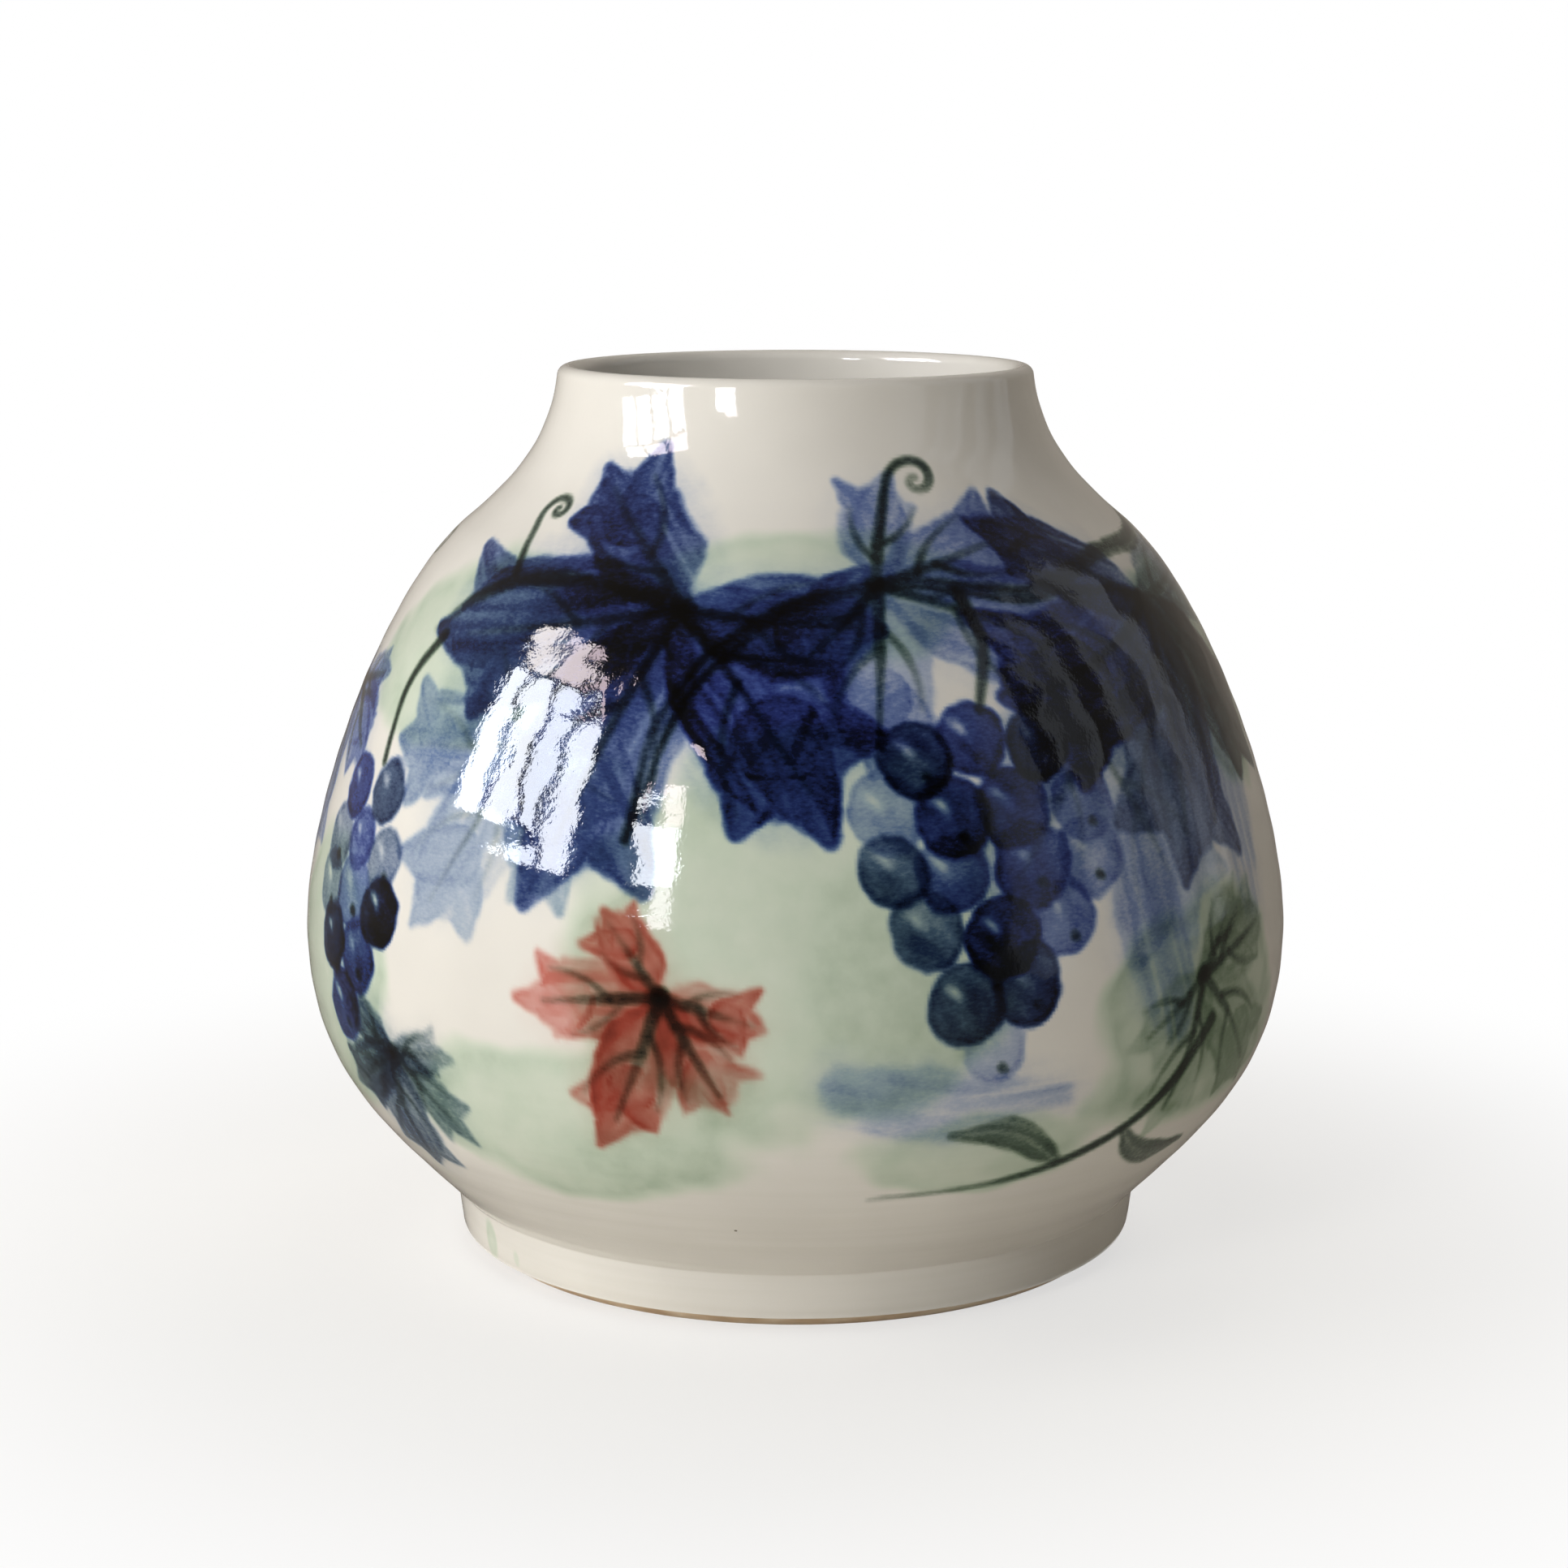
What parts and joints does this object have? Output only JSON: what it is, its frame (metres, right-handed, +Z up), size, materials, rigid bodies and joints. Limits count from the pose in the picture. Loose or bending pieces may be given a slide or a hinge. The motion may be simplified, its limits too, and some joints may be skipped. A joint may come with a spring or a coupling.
{
  "type": "open porcelain jar",
  "caption": "Wide-bellied porcelain jar with a short concave neck, rounded open mouth and turned foot ring, thrown in luted sections and glazed over a brushed vine painting.",
  "frame": {"origin": "centre of the standing ring, on the face that the jar stands on", "axes": "+Z up along the turning axis, towards the mouth"},
  "size_m": [0.291, 0.291, 0.26],
  "materials": {
    "bare_foot_clay": "matt, flashed tan where it was wiped bare",
    "biscuit_porcelain": "matt fired clay with throwing lines",
    "luting_slip": "matt fired slip",
    "painted_glaze": "glossy, over blue, green, red and black brushwork",
    "clear_glaze": "glossy"
  },
  "bodies": {
    "root": {"foot_ring": "bare_foot_clay", "base_floor": "biscuit_porcelain", "lower_belly": "biscuit_porcelain", "upper_belly": "biscuit_porcelain", "neck": "biscuit_porcelain", "foot_joint_slip": "luting_slip", "base_joint_slip": "luting_slip", "girth_joint_slip": "luting_slip", "neck_joint_slip": "luting_slip", "outside_glaze": "painted_glaze", "inside_glaze": "clear_glaze", "underside_glaze": "clear_glaze"}
  },
  "joints": []
}
